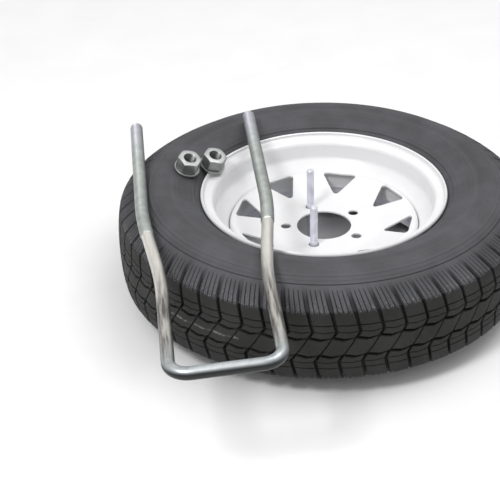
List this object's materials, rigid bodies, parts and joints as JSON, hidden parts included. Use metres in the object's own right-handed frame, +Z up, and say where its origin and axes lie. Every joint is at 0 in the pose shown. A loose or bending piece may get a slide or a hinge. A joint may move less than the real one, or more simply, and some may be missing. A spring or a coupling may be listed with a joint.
{
  "type": "trailer spare wheel with U-bolt carrier",
  "caption": "White steel spoke wheel with trailer tyre lying flat, a small carrier U-bolt through its stud holes, and a loose threaded U-bar with nuts and washers.",
  "frame": {"origin": "on the surface that the tyre lies on, below the middle of the bounding box; the wheel's axis is at x = 0, y = 0.09117", "axes": "+Z up along the wheel's axis, out of its outboard face; +Y from the U-bar's crossbar towards its threaded ends"},
  "size_m": [0.61, 0.7924, 0.2002],
  "materials": {
    "tyre_rubber": "matt moulded rubber",
    "wheel_white": "gloss white enamel",
    "zinc": "dull zinc plate",
    "bead_wire": "bronze coated wire",
    "valve_rubber": "matt",
    "valve_brass": "satin",
    "spring_steel": "bright wire",
    "cap_plastic": "satin",
    "white_plastic": "waxy"
  },
  "bodies": {
    "wheel": {"tyre": "tyre_rubber", "bead_wire_outboard": "bead_wire", "bead_wire_inboard": "bead_wire", "wheel_rim": "wheel_white", "wheel_disc": "wheel_white", "valve_rubber": "valve_rubber", "valve_tube": "valve_brass", "valve_core_barrel": "valve_brass", "valve_core_ring": "white_plastic", "valve_spring": "spring_steel"},
    "valve_plunger": {"valve_pin": "valve_brass", "valve_seal": "valve_rubber"},
    "valve_cap": {"valve_cap": "cap_plastic", "valve_cap_gasket": "valve_rubber"},
    "u_bar": {"u_bar": "zinc"},
    "washer_left": {"washer_left": "zinc"},
    "nut_left": {"nut_left": "zinc"},
    "washer_right": {"washer_right": "zinc"},
    "nut_right": {"nut_right": "zinc"},
    "carrier_u_bolt": {"carrier_u_bolt": "zinc"}
  },
  "joints": [
    {"name": "u_bar_lift", "type": "slide", "parent": "wheel", "child": "u_bar", "axis": [0, 0, 1], "range_m": [0, 0.25]},
    {"name": "washer_left_lift", "type": "slide", "parent": "wheel", "child": "washer_left", "axis": [0, 0, 1], "range_m": [0, 0.06]},
    {"name": "nut_left_lift", "type": "slide", "parent": "washer_left", "child": "nut_left", "axis": [0, 0, 1], "range_m": [0, 0.06]},
    {"name": "washer_right_lift", "type": "slide", "parent": "wheel", "child": "washer_right", "axis": [0, 0, 1], "range_m": [0, 0.08]},
    {"name": "nut_right_lift", "type": "slide", "parent": "washer_right", "child": "nut_right", "axis": [0, 0, 1], "range_m": [0, 0.06]},
    {"name": "carrier_u_bolt_slide", "type": "slide", "parent": "wheel", "child": "carrier_u_bolt", "axis": [0, 0, 1], "range_m": [0, 0.0745]},
    {"name": "valve_cap_pull", "type": "slide", "parent": "wheel", "child": "valve_cap", "axis": [0.3775, 0.5597, 0.7377], "range_m": [0, 0.02]},
    {"name": "valve_pin_press", "type": "slide", "parent": "wheel", "child": "valve_plunger", "axis": [-0.3775, -0.5597, -0.7377], "range_m": [0, 0.0011], "stiffness_N_per_m": 250, "deforming": ["valve_spring"]}
  ]
}
